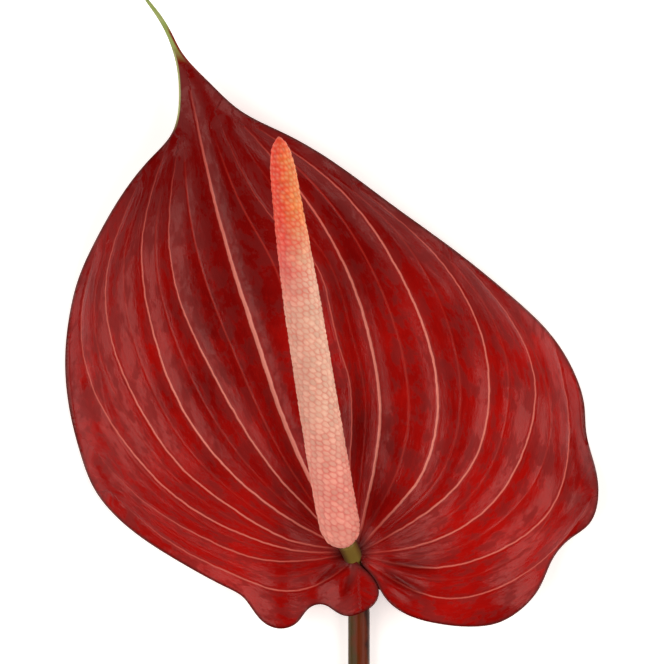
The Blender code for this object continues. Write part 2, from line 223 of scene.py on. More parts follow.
def smoothLine(points, spacing):
    # smooth curve through the points, resampled at about the given spacing
    points = np.asarray(points, float)
    knots = chordKnots(points)
    dense = cubic(knots, points, np.linspace(0.0, knots[-1], 40 * len(points)))
    run = chordKnots(dense)
    count = max(3, round(run[-1] / spacing) + 1)
    even = np.linspace(0.0, run[-1], count)
    columns = [np.interp(even, run, dense[:, axis]) for axis in range(points.shape[1])]
    return np.stack(columns, axis=1)


def nearLine(points, line):
    # signed distance from each point to a polyline, positive on its right, and the
    # share of the line's length at the nearest place
    nearest = np.full(len(points), np.inf)
    signed = np.zeros(len(points))
    place = np.zeros(len(points))
    knots = chordKnots(line)
    for i, (start, end) in enumerate(zip(line[:-1], line[1:])):
        along = end - start
        share = np.clip(((points - start) @ along) / (along @ along), 0.0, 1.0)
        gap = points - start - share[:, None] * along
        far = np.hypot(gap[:, 0], gap[:, 1])
        closer = far < nearest
        nearest = np.where(closer, far, nearest)
        side = np.sign(gap[:, 0] * along[1] - gap[:, 1] * along[0])
        signed = np.where(closer, far * side, signed)
        here = (knots[i] + share * (knots[i + 1] - knots[i])) / knots[-1]
        place = np.where(closer, here, place)
    return signed, place


def bladeMargin(spacing):
    sides = [smoothLine(blade[side], spacing) for side in ("leftMargin", "rightMargin")]
    return np.concatenate(sides)


def holeEdge(spacing):
    start, end = blade["holeTurn"]
    wide, tall = blade["holeRadii"]
    count = round(math.radians(end - start) * (wide + tall) / 2 / spacing)
    turns = np.radians(np.linspace(start, end, count)[1:-1])
    x = blade["holeCentre"][0] + wide * np.cos(turns)
    y = blade["holeCentre"][1] + tall * np.sin(turns)
    return np.stack([x, y], axis=1)


def inside(points, ring):
    hit = np.zeros(len(points), bool)
    x, y = points[:, 0], points[:, 1]
    for (ax, ay), (bx, by) in zip(ring, np.roll(ring, -1, axis=0)):
        if ay == by:
            continue
        crosses = (ay > y) != (by > y)
        hit ^= crosses & (x < (bx - ax) * (y - ay) / (by - ay) + ax)
    return hit


def bladePlan():
    # points and triangles of the blade seen from above, with the edge first
    ring = np.concatenate([bladeMargin(blade["marginStep"]), holeEdge(blade["holeStep"])])
    low, high = ring.min(axis=0), ring.max(axis=0)
    step = blade["gridStep"]
    grid = []
    for number, y in enumerate(np.arange(low[1], high[1], step * math.sqrt(3) / 2)):
        x = np.arange(low[0] + (number % 2) * step / 2, high[0], step)
        grid.append(np.stack([x, np.full(len(x), y)], axis=1))
    grid = np.concatenate(grid)
    grid = grid[inside(grid, ring)]
    closed = np.concatenate([ring, ring[:1]])
    grid = grid[np.abs(nearLine(grid, closed)[0]) > step * 0.55]
    seeds = [Vector((float(x), float(y))) for x, y in np.concatenate([ring, grid])]
    edge = list(range(len(ring)))
    verts, _, faces, _, _, _ = delaunay_2d_cdt(seeds, [], [edge], 1, 1e-5)
    return np.array([tuple(v) for v in verts]), np.array([tuple(face) for face in faces])


def picked(values, pick):
    return np.take_along_axis(values, pick[None], axis=0)[0]


def alternate(values):
    # signed distances to lines in order from left to right, as one field that is zero
    # only on the lines and keeps its sign between them
    signs = (-1.0) ** np.arange(len(values))[:, None]
    pick = np.argmin(np.abs(values), axis=0)
    return picked(values * signs, pick), pick


def veinField(points):
    # numbers that draw the veins and the streaks that run along them
    ordered = sorted(zip(blade["veinLines"], blade["veins"]))
    lines = [smoothLine(vein, 1.0) for _, vein in ordered]
    near = [nearLine(points, line) for line in lines]
    signed = np.array([distance for distance, _ in near])
    places = np.array([place for _, place in near])
    toVein, pick = alternate(signed)
    place = picked(places, pick)
    width = np.array([look[1] for look, _ in ordered])[pick]
    pale = np.array([look[2] for look, _ in ordered])[pick]
    endWidth = blade["endWidth"]
    taperStart, taperRun = blade["endTaper"]
    width = width * (endWidth + (1.0 - endWidth) * rise(place, taperStart, -taperRun))
    width = width * np.clip(place / blade["startRun"] + blade["startWidth"], 0.0, 1.0)
    radius = np.hypot(points[:, 0], points[:, 1])
    fade = rise(place, 1.0, -blade["paleRun"])
    fade = fade * np.maximum(rise(radius, *blade["paleRadii"]), blade["paleLeast"])
    left = pick - (picked(signed, pick) < 0)
    low = np.clip(left, 0, len(lines) - 1)
    high = np.clip(left + 1, 0, len(lines) - 1)
    fromLow = np.abs(picked(signed, low))
    fromHigh = np.abs(picked(signed, high))
    outside = np.sign(left + 0.5) * fromLow / blade["flowOutside"]
    share = np.where(low == high, outside, fromLow / (fromLow + fromHigh + 1e-9))
    flow = (np.where(low == high, low, left) + share) * blade["flowPitch"]
    middles = []
    for a, b in zip(lines[:-1], lines[1:]):
        shares = np.linspace(*blade["thinSpan"], blade["thinPoints"])
        pair = [cubic(chordKnots(line), line, shares * chordKnots(line)[-1]) for line in (a, b)]
        middles.append((pair[0] + pair[1]) / 2)
    near = [nearLine(points, line) for line in middles]
    toThin, pick = alternate(np.array([distance for distance, _ in near]))
    place = picked(np.array([place for _, place in near]), pick)
    thin = np.array(blade["thinLines"])[pick]
    thin = thin * rise(np.minimum(place, 1.0 - place), 0.0, blade["thinRun"])
    return {"toVein": toVein, "width": width, "pale": pale * fade, "toThin": toThin,
            "thin": thin, "flow": flow}


def bladeForm(points, margin):
    x, y = points[:, 0], points[:, 1]
    radius = np.hypot(x, y)
    rise = 1.0 - np.exp(-np.maximum(radius - blade["funnelRadius"], 0.0) / blade["funnelSpread"])
    height = blade["junctionHeight"] + blade["crestRise"] * rise
    table = np.array(blade["marginFall"], float)
    turn = np.degrees(np.arctan2(y, x))
    turn = np.where(turn < table[0, 0], turn + 360.0, turn)
    fall = cubic(table[:, 0], table[:, 1], np.clip(turn, table[0, 0], table[-1, 0]))
    fall *= 1.0 - np.exp(-(radius / blade["fallStart"]) ** 2)
    inward = np.abs(nearLine(points, margin)[0])
    height -= fall * np.exp(-inward / blade["fallSpread"])
    wave = np.cos(2 * math.pi * (turn - blade["waveCrest"]) / blade["wavePitch"])
    wave *= np.exp(-((turn - blade["waveCrest"]) / blade["waveReach"]) ** 2)
    height += blade["waveHeight"] * wave * np.exp(-inward / blade["waveSpread"])
    for centreX, centreY, spread, swell in blade["swells"]:
        height += swell * np.exp(-((x - centreX) ** 2 + (y - centreY) ** 2) / spread ** 2)
    return height, inward


def bladeRelief(points, field):
    # how far the upper face stands above or below the plain form, along veins and folds
    fade = 1.0 - np.exp(-(np.hypot(points[:, 0], points[:, 1]) / blade["veinStart"]) ** 2)
    lift = -blade["veinDepth"] * np.exp(-(field["toVein"] / blade["veinSpread"]) ** 2)
    lift -= blade["thinDepth"] * np.exp(-(field["toThin"] / blade["thinSpread"]) ** 2)
    lift *= fade
    for start, end, width, height in blade["folds"]:
        far, place = nearLine(points, np.array([start, end]))
        lift += height * np.sin(math.pi * place) * np.exp(-(far / width) ** 2)
    return lift


def addObject(name, data):
    made = bpy.data.objects.new(name, data)
    bpy.context.scene.collection.objects.link(made)
    return made


def makeMesh(name, verts, faces, numbers, home):
    # mesh in the row frame from millimetre points, with named numbers on each point
    mesh = bpy.data.meshes.new(name)
    mesh.from_pydata((np.asarray(verts) * mm + home).tolist(), [], [tuple(f) for f in faces])
    mesh.validate()
    for title, values in numbers.items():
        values = np.asarray(values, np.float32)
        if values.ndim == 1:
            layer = mesh.attributes.new(title, "FLOAT", "POINT")
            layer.data.foreach_set("value", values)
        else:
            layer = mesh.attributes.new(title, "FLOAT_VECTOR", "POINT")
            layer.data.foreach_set("vector", values.ravel())
    shell = bmesh.new()
    shell.from_mesh(mesh)
    bmesh.ops.recalc_face_normals(shell, faces=shell.faces[:])
    shell.to_mesh(mesh)
    shell.free()
    mesh.shade_smooth()
    return addObject(name, mesh)


def squareTo(axis):
    # unit tangents of a line, and at each point two directions square to them
    tangents = np.gradient(axis, axis=0)
    tangents /= np.linalg.norm(tangents, axis=1)[:, None]
    sides = np.cross(tangents, (0.0, 0.0, 1.0))
    sides /= np.linalg.norm(sides, axis=1)[:, None]
    return tangents, sides, np.cross(sides, tangents)


def roundAxis(axis, sides, ups, turn, reach):
    # points at the given turns and distances round each point of a line
    across = np.cos(turn)[..., None] * sides[:, None] + np.sin(turn)[..., None] * ups[:, None]
    return (axis[:, None] + reach[..., None] * across).reshape(-1, 3)


def rimEdges(faces):
    used = {}
    for a, b, c in faces.tolist():
        for pair in ((a, b), (b, c), (c, a)):
            used[pair] = True
    return [pair for pair in used if (pair[1], pair[0]) not in used]


def twoFaced(faces, count):
    # the upper triangles, the same ones turned over for the lower face, and the rim
    shell = [tuple(face) for face in faces.tolist()]
    shell += [(c + count, b + count, a + count) for a, b, c in faces.tolist()]
    shell += [(end, start, start + count, end + count) for start, end in rimEdges(faces)]
    return shell


def smoothOver(values, faces, rounds):
    # evens out creases between neighbouring points, with the rim left as it is
    edges = np.concatenate([faces[:, :2], faces[:, 1:], faces[:, ::2]])
    first, second = edges.T
    neighbours = np.bincount(edges.ravel(), minlength=len(values))
    rim = np.unique(np.array(rimEdges(faces)))
    held = values[rim]
    for _ in range(rounds):
        around = np.bincount(first, values[second], len(values))
        around += np.bincount(second, values[first], len(values))
        values = (values + around / neighbours) / 2
        values[rim] = held
    return values


# The junction's place in the row frame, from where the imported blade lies.
marginFine = bladeMargin(blade["marginStep"])
spatheLow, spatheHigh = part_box("spathe")
outlineMiddle = (marginFine.min(axis=0) + marginFine.max(axis=0)) / 2
home = np.array([
    (spatheLow[0] + spatheHigh[0]) / 2 - outlineMiddle[0] * mm,
    (spatheLow[1] + spatheHigh[1]) / 2 - outlineMiddle[1] * mm,
    spatheLow[2],
])


class Nodes:
    # a material's node tree, with one short call for each kind of node
    def __init__(self, name):
        self.material = bpy.data.materials.new(name)
        self.material.use_nodes = True
        self.tree = self.material.node_tree
        self.shader = self.tree.nodes["Principled BSDF"]

    def add(self, kind, inputs, **settings):
        node = self.tree.nodes.new(kind)
        for key, value in settings.items():
            setattr(node, key, value)
        for key, value in inputs.items():
            self.feed(node.inputs[key], value)
        return node

    def feed(self, socket, value):
        if isinstance(value, bpy.types.NodeSocket):
            self.tree.links.new(value, socket)
        elif isinstance(value, tuple) and len(value) == 3 and socket.type == "RGBA":
            socket.default_value = (*value, 1.0)
        else:
            socket.default_value = value

    def number(self, name):
        return self.add("ShaderNodeAttribute", {}, attribute_name=name).outputs["Fac"]

    def place(self, scale=(1.0, 1.0, 1.0)):
        where = self.add("ShaderNodeTexCoord", {}).outputs["Object"]
        return self.add("ShaderNodeMapping", {"Vector": where, "Scale": scale}).outputs[0]

    def stretch(self, vector, scale):
        return self.add("ShaderNodeMapping", {"Vector": vector, "Scale": scale}).outputs[0]

    def noise(self, vector, scale, detail=4.0, rough=0.55):
        inputs = {"Vector": vector, "Scale": scale, "Detail": detail, "Roughness": rough}
        return self.add("ShaderNodeTexNoise", inputs).outputs["Fac"]

    def cells(self, vector, scale, feature="F1"):
        inputs = {"Vector": vector, "Scale": scale}
        return self.add("ShaderNodeTexVoronoi", inputs, feature=feature).outputs["Distance"]

    def ramp(self, value, *stops):
        node = self.add("ShaderNodeValToRGB", {"Fac": value})
        while len(node.color_ramp.elements) < len(stops):
            node.color_ramp.elements.new(0.5)
        for element, (where, colour) in zip(node.color_ramp.elements, stops):
            element.position = where
            element.color = (*colour, 1.0)
        return node.outputs["Color"]

    def span(self, value, low, high, fromLow=0.0, fromHigh=1.0):
        inputs = {"Value": value, "From Min": fromLow, "From Max": fromHigh,
                  "To Min": low, "To Max": high}
        return self.add("ShaderNodeMapRange", inputs).outputs[0]

    def math(self, how, a, b=0.0):
        node = self.add("ShaderNodeMath", {}, operation=how)
        self.feed(node.inputs[0], a)
        self.feed(node.inputs[1], b)
        return node.outputs[0]

    def mix(self, share, a, b, how="MIX"):
        node = self.add("ShaderNodeMix", {}, data_type="RGBA", blend_type=how)
        self.feed(node.inputs["Factor"], share)
        self.feed(node.inputs[6], a)
        self.feed(node.inputs[7], b)
        return node.outputs[2]

    def bump(self, height, distance, strength=1.0, under=None):
        inputs = {"Height": height, "Distance": distance, "Strength": strength}
        if under is not None:
            inputs["Normal"] = under
        return self.add("ShaderNodeBump", inputs).outputs["Normal"]

    def finish(self, **inputs):
        for key, value in inputs.items():
            self.feed(self.shader.inputs[key.replace("_", " ")], value)
        return self.material


spatheLook = {
    "deep": (0.18, 0.0014, 0.001),
    "bright": (0.42, 0.004, 0.0024),
    # A dark red for random patches and for painted shade towards the tip.
    "tipShadeAndPatches": (0.14, 0.001, 0.0008),
    "streak": (0.46, 0.008, 0.005),
    "veinPale": (0.86, 0.3, 0.24),
    "veinRed": (0.46, 0.03, 0.02),
    "halo": (0.36, 0.012, 0.009),
    # Painted shade for the valley folds, the funnel round the stem and the tucked strip.
    "recessShade": (0.07, 0.001, 0.0008),
    "back": (0.30, 0.05, 0.035),
    # Painted shade along the rolled-back margin.
    "edge": (0.075, 0.0015, 0.0012),
    "tail": (0.26, 0.36, 0.085),
    "tailCream": (0.42, 0.47, 0.2),
    "tailLine": (0.2, 0.012, 0.008),
    "roughness": (0.13, 0.27),
    # Scale along and across the veins, then size, detail and roughness of the noise.
    "streakNoise": ((1.0, 0.16, 1.0), 1.1, 7.0, 0.68),
    "patchNoise": ((1.0, 0.4, 1.0), 0.4, 7.0, 0.7),
    "wrinkleNoise": ((1.0, 0.3, 1.0), 0.8, 6.0, 0.62),
    "broadNoise": (38.0, 3.0),
    "fineNoise": (520.0, 4.0, 0.6),
    "wobbleNoise": (300.0, 3.0),
    "poreNoise": (2600.0, 3.0, 0.7),
    "cellScale": 1500.0,
    # Depth in metres and strength of each bump.
    "veinBump": (0.00022, 0.7),
    "thinBump": (0.0001, 0.6),
    "wrinkleBump": (0.0003, 0.5),
    "fineBump": (0.00008, 0.5),
    "poreBump": (0.00002, 0.5),
    "cellBump": (0.00002, 0.35),
    # The green tip and its cream and dark edges: where they begin and how fast.
    "tailStart": 126.5,
    "tailMiddle": -50.0,
    "tailLean": 0.25,
    "tailRun": 4.0,
    "creamSpan": (107.5, 127.0),
    "creamRuns": (5.0, 4.0),
    "creamSide": -44.0,
    "tailLineSpan": (120.0, 134.5),
    "tailLineRuns": (4.0, 2.0),
    # Painted shade in the folds, round the stem and towards the tip.
    "foldShade": 0.6,
    "throatRadius": 6.5,
    "throatRun": 4.0,
    "throatShade": 0.95,
    "tipShadeStart": (-75.0, 55.0),
    "tipShadeRun": (20.0, 40.0),
    "tipShadeMost": 0.85,
}


def spatheMaterial():
    look = spatheLook
    n = Nodes("spathe_wax")
    place = n.place()
    flow = n.add("ShaderNodeAttribute", {}, attribute_name="flow").outputs["Vector"]
    streaks, patches, wrinkles = (
        n.noise(n.stretch(flow, look[title][0]), *look[title][1:])
        for title in ("streakNoise", "patchNoise", "wrinkleNoise"))
    broad = n.noise(place, *look["broadNoise"])
    fine = n.noise(place, *look["fineNoise"])
    colour = n.mix(n.span(broad, 0.0, 1.0, *noiseSpan), look["deep"], look["bright"])
    colour = n.mix(n.span(streaks, 0.0, 0.7, 0.5, 0.78), colour, look["streak"])
    colour = n.mix(n.span(fine, 0.0, 0.35, 0.55, 0.8), colour, look["deep"])
    colour = n.mix(n.span(patches, 0.0, 0.45, 0.5, 0.56), colour, look["tipShadeAndPatches"])
    # Painted shade darkens the upper blade towards the tip.
    colour = n.mix(n.number("tipShadeAndPatches"), colour, look["tipShadeAndPatches"])
    wobble = n.span(n.noise(place, *look["wobbleNoise"]), -0.14, 0.14, 0.25, 0.75)
    toVein = n.math("ABSOLUTE", n.math("ADD", n.number("toVein"), wobble))
    toThin = n.math("ABSOLUTE", n.number("toThin"))
    halo = n.math("MULTIPLY", n.span(toVein, 0.55, 0.0, 0.0, 2.2), n.number("pale"))
    colour = n.mix(halo, colour, look["halo"])
    thin = n.math("MULTIPLY", n.span(toThin, 1.0, 0.0, 0.08, 0.34), n.number("thin"))
    colour = n.mix(n.math("MULTIPLY", thin, 0.6), colour, look["veinRed"])
    inLine = n.math("SUBTRACT", toVein, n.number("width"))
    line = n.span(inLine, 1.0, 0.0, -0.06, 0.12)
    colour = n.mix(n.math("MULTIPLY", line, n.span(n.number("pale"), 0.25, 0.9, 0.0, 0.35)),
                   colour, look["veinRed"])
    paleLine = n.math("MULTIPLY", line, n.number("pale"))
    paleLine = n.math("MULTIPLY", paleLine, n.span(streaks, 0.75, 1.0, 0.3, 0.6))
    colour = n.mix(paleLine, colour, look["veinPale"])
    # Painted shade in the valley folds, round the stem and on the tucked strip.
    colour = n.mix(n.number("recessShade"), colour, look["recessShade"])
    inward = n.number("inward")
    # Painted shade: a dark band along the margin, where the edge rolls back.
    rim = n.math("MULTIPLY", n.span(inward, 0.85, 0.0, 0.2, 0.9), n.number("face"))
    colour = n.mix(rim, colour, look["edge"])
    cream = n.math("MULTIPLY", n.span(inward, 1.0, 0.0, 0.3, 0.55), n.number("cream"))
    colour = n.mix(cream, colour, look["tailCream"])
    green = n.mix(n.span(fine, 0.0, 0.6, 0.35, 0.75), look["tail"], look["tailCream"])
    colour = n.mix(n.number("green"), colour, green)
    tailLine = n.math("MULTIPLY", n.span(n.number("toRight"), 1.0, 0.0, 0.35, 0.75),
                      n.number("tailLine"))
    colour = n.mix(tailLine, colour, look["tailLine"])
    colour = n.mix(n.number("back"), colour, look["back"])
    rough = n.span(wrinkles, *look["roughness"], *noiseSpan)
    rough = n.math("ADD", rough, n.span(patches, 0.0, 0.3, 0.49, 0.54))
    heights = {
        "veinBump": n.span(toVein, 0.0, 1.0, 0.0, 0.7),
        "thinBump": n.span(toThin, 0.0, 1.0, 0.0, 0.45),
        "wrinkleBump": wrinkles,
        "fineBump": fine,
        "poreBump": n.noise(place, *look["poreNoise"]),
        "cellBump": n.cells(place, look["cellScale"]),
    }
    normal = None
    for title, height in heights.items():
        normal = n.bump(height, *look[title], normal)
    return n.finish(Base_Color=colour, Roughness=rough, Normal=normal, Specular_IOR_Level=0.18)


def spatheNumbers(plan, inward, field):
    # the numbers on each point of the upper face, by name
    x, y = plan[:, 0], plan[:, 1]
    look = spatheLook
    tipward = y - look["tailStart"] + look["tailLean"] * (x - look["tailMiddle"])
    green = rise(tipward, 0.0, look["tailRun"])
    low, high = look["creamSpan"]
    lowRun, highRun = look["creamRuns"]
    cream = rise(y, low, lowRun) * rise(y, high + highRun, -highRun)
    cream *= x < look["creamSide"]
    toRight = np.abs(nearLine(plan, smoothLine(blade["rightMargin"], blade["marginStep"]))[0])
    low, high = look["tailLineSpan"]
    lowRun, highRun = look["tailLineRuns"]
    tailLine = rise(y, high, -highRun) * rise(y, low, lowRun)
    # Painted shade along the valley folds and in the funnel round the stem.
    recessShade = np.zeros(len(plan))
    for start, end, width, height in blade["folds"]:
        if height < 0:
            far, place = nearLine(plan, np.array([start, end]))
            shade = look["foldShade"] * np.sin(math.pi * place) * np.exp(-(far / width) ** 2)
            recessShade = np.maximum(recessShade, shade)
    far = np.hypot(x - blade["holeCentre"][0], y - blade["holeCentre"][1])
    throat = rise(far, look["throatRadius"], -look["throatRun"]) * look["throatShade"]
    recessShade = np.maximum(recessShade, throat)
    # Painted shade over the upper blade, growing towards the tip.
    startX, startY = look["tipShadeStart"]
    runX, runY = look["tipShadeRun"]
    tipShadeAndPatches = np.minimum(rise(y, startY, runY), look["tipShadeMost"]) * rise(x, startX, runX)
    numbers = {"tipShadeAndPatches": tipShadeAndPatches, "face": 1.0 - green, "green": green, "cream": cream, "recessShade": recessShade,
               "tailLine": tailLine, "inward": inward, "toRight": toRight}
    numbers.update({key: field[key] for key in ("toVein", "width", "pale", "toThin", "thin")})
    return numbers


def buildSpathe():
    plan, faces = bladePlan()
    top, inward = bladeForm(plan, marginFine)
    probe = blade["slopeProbe"]
    slopeX = (bladeForm(plan + (probe, 0.0), marginFine)[0] - top) / probe
    slopeY = (bladeForm(plan + (0.0, probe), marginFine)[0] - top) / probe
    slope = np.minimum(np.hypot(slopeX, slopeY), blade["steepestSlope"])
    field = veinField(plan)
    top = smoothOver(top, faces, blade["smoothRounds"]) + bladeRelief(plan, field)
    bottom = top - blade["thickness"] * np.hypot(1.0, slope)
    for spot in blade["restSpots"]:
        apart = np.linalg.norm(plan - spot, axis=1)
        bottom -= blade["restDrop"] * np.exp(-(apart / blade["restRadius"]) ** 2)
    bottom = np.maximum(bottom, 0.0)
    top = np.maximum(top, bottom + blade["thickness"])
    count = len(plan)
    verts = np.concatenate([np.column_stack([plan, top]), np.column_stack([plan, bottom])])
    onTop = spatheNumbers(plan, inward, field)
    kept = {"toVein", "toThin", "width", "green", "inward", "toRight"}
    numbers = {key: np.concatenate([values, values * float(key in kept)])
               for key, values in onTop.items()}
    numbers["back"] = np.concatenate([np.zeros(count), 1.0 - onTop["green"]])
    radius = np.hypot(plan[:, 0], plan[:, 1])
    flow = np.column_stack([field["flow"], radius, np.zeros(count)])
    numbers["flow"] = np.concatenate([flow, flow + (0.0, 0.0, blade["flowBack"])])
    piece = makeMesh("spatheBlade", verts, twoFaced(faces, count), numbers, home)
    piece.data.materials.append(spatheMaterial())
    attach(piece, "root")
    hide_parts("spathe")


def buildTuck():
    # the strip of the right lobe that lies hidden under the left one at the sinus
    line = smoothLine(blade["rightMargin"], blade["marginStep"])
    line = line[round(len(line) * (1.0 - blade["tuckShare"])):]
    along = np.gradient(line, axis=0)
    along /= np.linalg.norm(along, axis=1)[:, None]
    across = np.column_stack([-along[:, 1], along[:, 0]])
    shares = np.linspace(0.0, 1.0, blade["tuckRows"])
    outer, inner = blade["tuckSides"]
    rows = []
    reach = np.clip(np.linspace(0.0, blade["tuckTaper"], len(line)), 0.0, 1.0)[:, None]
    for share in shares:
        offset = outer * (1.0 - share) + inner * share * reach
        rows.append(line - across * offset)
    plan = np.concatenate(rows)
    top = bladeForm(plan, marginFine)[0] - blade["tuckDrop"]
    count, wide = len(plan), len(line)
    verts = np.concatenate([np.column_stack([plan, top]),
                            np.column_stack([plan, top - blade["tuckThickness"]])])
    faces = []
    for row in range(len(shares) - 1):
        for i in range(wide - 1):
            a = row * wide + i
            faces += [(a, a + 1, a + wide + 1), (a, a + wide + 1, a + wide)]
    none = ("tipShadeAndPatches", "face", "green", "cream", "tailLine", "back", "pale", "thin", "width")
    distances = ("toVein", "toThin", "inward", "toRight")
    numbers = {key: np.zeros(2 * count) for key in none}
    numbers.update({key: np.full(2 * count, blade["farOff"]) for key in distances})
    # The tucked strip is painted dark all over, as shade under the left lobe.
    numbers["recessShade"] = np.full(2 * count, blade["tuckShade"])
    numbers["flow"] = verts
    piece = makeMesh("spatheTuck", verts, twoFaced(np.array(faces), count), numbers, home)
    piece.data.materials.append(bpy.data.materials["spathe_wax"])
    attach(piece, "root")
    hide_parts("spathe")


buildSpathe()
buildTuck()
print("spathe made")

spadix = {
    "course": (
        (-3.8, 5.9, 16.4), (-4.6, 8.6, 19.2), (-6.3, 17.0, 23.0), (-10.3, 40.5, 28.4),
        (-15.0, 70.5, 33.8), (-18.4, 94.0, 38.0), (-19.8, 105.2, 40.0),
    ),
    "profile": (
        (0.0, 2.9), (0.02, 4.3), (0.05, 4.9), (0.2, 4.9), (0.4, 4.7), (0.6, 4.45),
        (0.75, 3.9), (0.85, 3.45), (0.93, 3.0), (0.97, 2.3), (0.99, 1.4), (1.0, 0.5),
    ),
    "around": 18,
    "rows": 74,
    "turns": 1.5,
    "samplesAround": 9,
    "samplesAlong": 6,
    "unevenness": 0.13,
    "seed": 7,
    "reliefFoot": 0.2,
    "reliefTip": 0.27,
    "tipRise": 0.4,
    # The florets are domed at the foot and turn into round knobs over this share of the
    # length. Depths are shares of the relief and widths are shares of a floret's width.
    "knobStart": 0.6,
    "knobRun": 0.25,
    "knobWidth": 1.5,
    "seamDepth": 1.3,
    "seamWidth": 0.24,
    "doming": 0.6,
    "ownSwell": 0.5,
    "stigmaWidth": 0.14,
    "stigmaDepth": 0.3,
    "seamInk": 0.34,
    "crownWidth": 0.45,
    "crownAtFoot": 0.3,
    "crownShare": 0.25,
    "sideContrast": 0.75,
    "blotchNoise": (260.0, 3.0),
    "speckleNoise": (1300.0, 4.0),
    "grainNoise": (2200.0, 3.0),
    "grainBump": (0.00006, 0.6),
    "ownTint": (0.86, 1.1),
    "roughness": (0.42, 0.6),
    "tipRed": (0.80, 0.055, 0.018),
    "tipOrange": (0.82, 0.26, 0.06),
    "neckRed": (0.76, 0.05, 0.02),
    "neckPink": (0.76, 0.14, 0.12),
    "middle": (0.74, 0.39, 0.30),
    "middleLit": (0.80, 0.50, 0.38),
    "foot": (0.79, 0.31, 0.25),
    "net": (0.68, 0.2, 0.15),
    "netFoot": (0.68, 0.09, 0.08),
    "crown": (0.92, 0.62, 0.42),
}


def spadixMaterial():
    look = spadix
    n = Nodes("spadix_florets")
    share = n.number("share")
    place = n.place()
    # Painted light and shade: the right side of the spike takes the lit colours and the left side
    # the shaded ones.
    lit = n.ramp(share, (0.0, look["foot"]), (0.16, look["foot"]), (0.36, look["middleLit"]),
                 (0.66, look["middleLit"]), (0.82, look["tipOrange"]), (0.95, look["tipOrange"]),
                 (1.0, look["tipRed"]))
    shade = n.ramp(share, (0.0, look["foot"]), (0.14, look["foot"]), (0.34, look["middle"]),
                   (0.58, look["middle"]), (0.7, look["neckPink"]), (0.82, look["neckRed"]),
                   (1.0, look["tipRed"]))
    blotch = n.noise(place, *look["blotchNoise"])
    left = n.math("ADD", n.number("left"), n.span(blotch, -0.25, 0.25, *noiseSpan))
    colour = n.mix(n.span(left, 0.0, 1.0, 0.05, 0.85), lit, shade)
    speckle = n.noise(place, *look["speckleNoise"])
    own = n.span(n.number("own"), *look["ownTint"])
    shadeOwn = n.add("ShaderNodeCombineColor", {"Red": own, "Green": own, "Blue": own}).outputs[0]
    colour = n.mix(1.0, colour, shadeOwn, "MULTIPLY")
    net = n.ramp(share, (0.0, look["netFoot"]), (0.2, look["netFoot"]), (0.45, look["net"]),
                 (0.8, look["neckRed"]))
    seam = n.math("MULTIPLY", n.number("seam"), n.span(blotch, 0.3, 0.75, 0.35, 0.65))
    colour = n.mix(seam, colour, net)
    colour = n.mix(n.span(speckle, 0.0, 0.3, 0.55, 0.8), colour, net)
    crown = n.math("MULTIPLY", n.number("crown"), look["crownShare"])
    colour = n.mix(crown, colour, look["crown"])
    rough = n.span(speckle, *look["roughness"], *noiseSpan)
    normal = n.bump(n.noise(place, *look["grainNoise"]), *look["grainBump"])
    return n.finish(Base_Color=colour, Roughness=rough, Normal=normal, Specular_IOR_Level=0.35)


def floretLattice(shares, columns, radii, length):
    # for each point of the spike's skin: distance to the middle of its own floret and to
    # the seam round it, both as shares of a floret's width, and a number of the floret
    look = spadix
    around, rows = look["around"], look["rows"]
    draw = np.random.default_rng(look["seed"])
    shift = draw.normal(0.0, look["unevenness"], (rows + 5, around, 2))
    tint = draw.random((rows + 5, around))
    u = np.arange(columns)[None, :] / columns * around
    w = shares[:, None] * rows
    wide = 2 * math.pi * radii[:, None] / around
    tall = length / rows
    u = np.broadcast_to(u, (len(shares), columns))
    best = np.full(u.shape, np.inf)
    second = np.full(u.shape, np.inf)
    own = np.zeros(u.shape)
    for rowStep in (-2, -1, 0, 1, 2):
        row = np.clip(np.floor(w).astype(int) + rowStep, -2, rows + 2)
        row = np.broadcast_to(row, u.shape)
        stagger = (row % 2) * 0.5
        for columnStep in (-1, 0, 1):
            column = np.round(u - stagger).astype(int) + columnStep
            moved = shift[row + 2, column % around]
            du = (u - column - stagger - moved[..., 0]) * wide
            dw = (w - row - moved[..., 1]) * tall
            far = np.hypot(du, dw)
            closer = far < best
            second = np.where(closer, best, np.minimum(second, far))
            own = np.where(closer, tint[row + 2, column % around], own)
            best = np.where(closer, far, best)
    scale = np.sqrt(wide * tall)
    return best / scale, (second - best) / scale, own


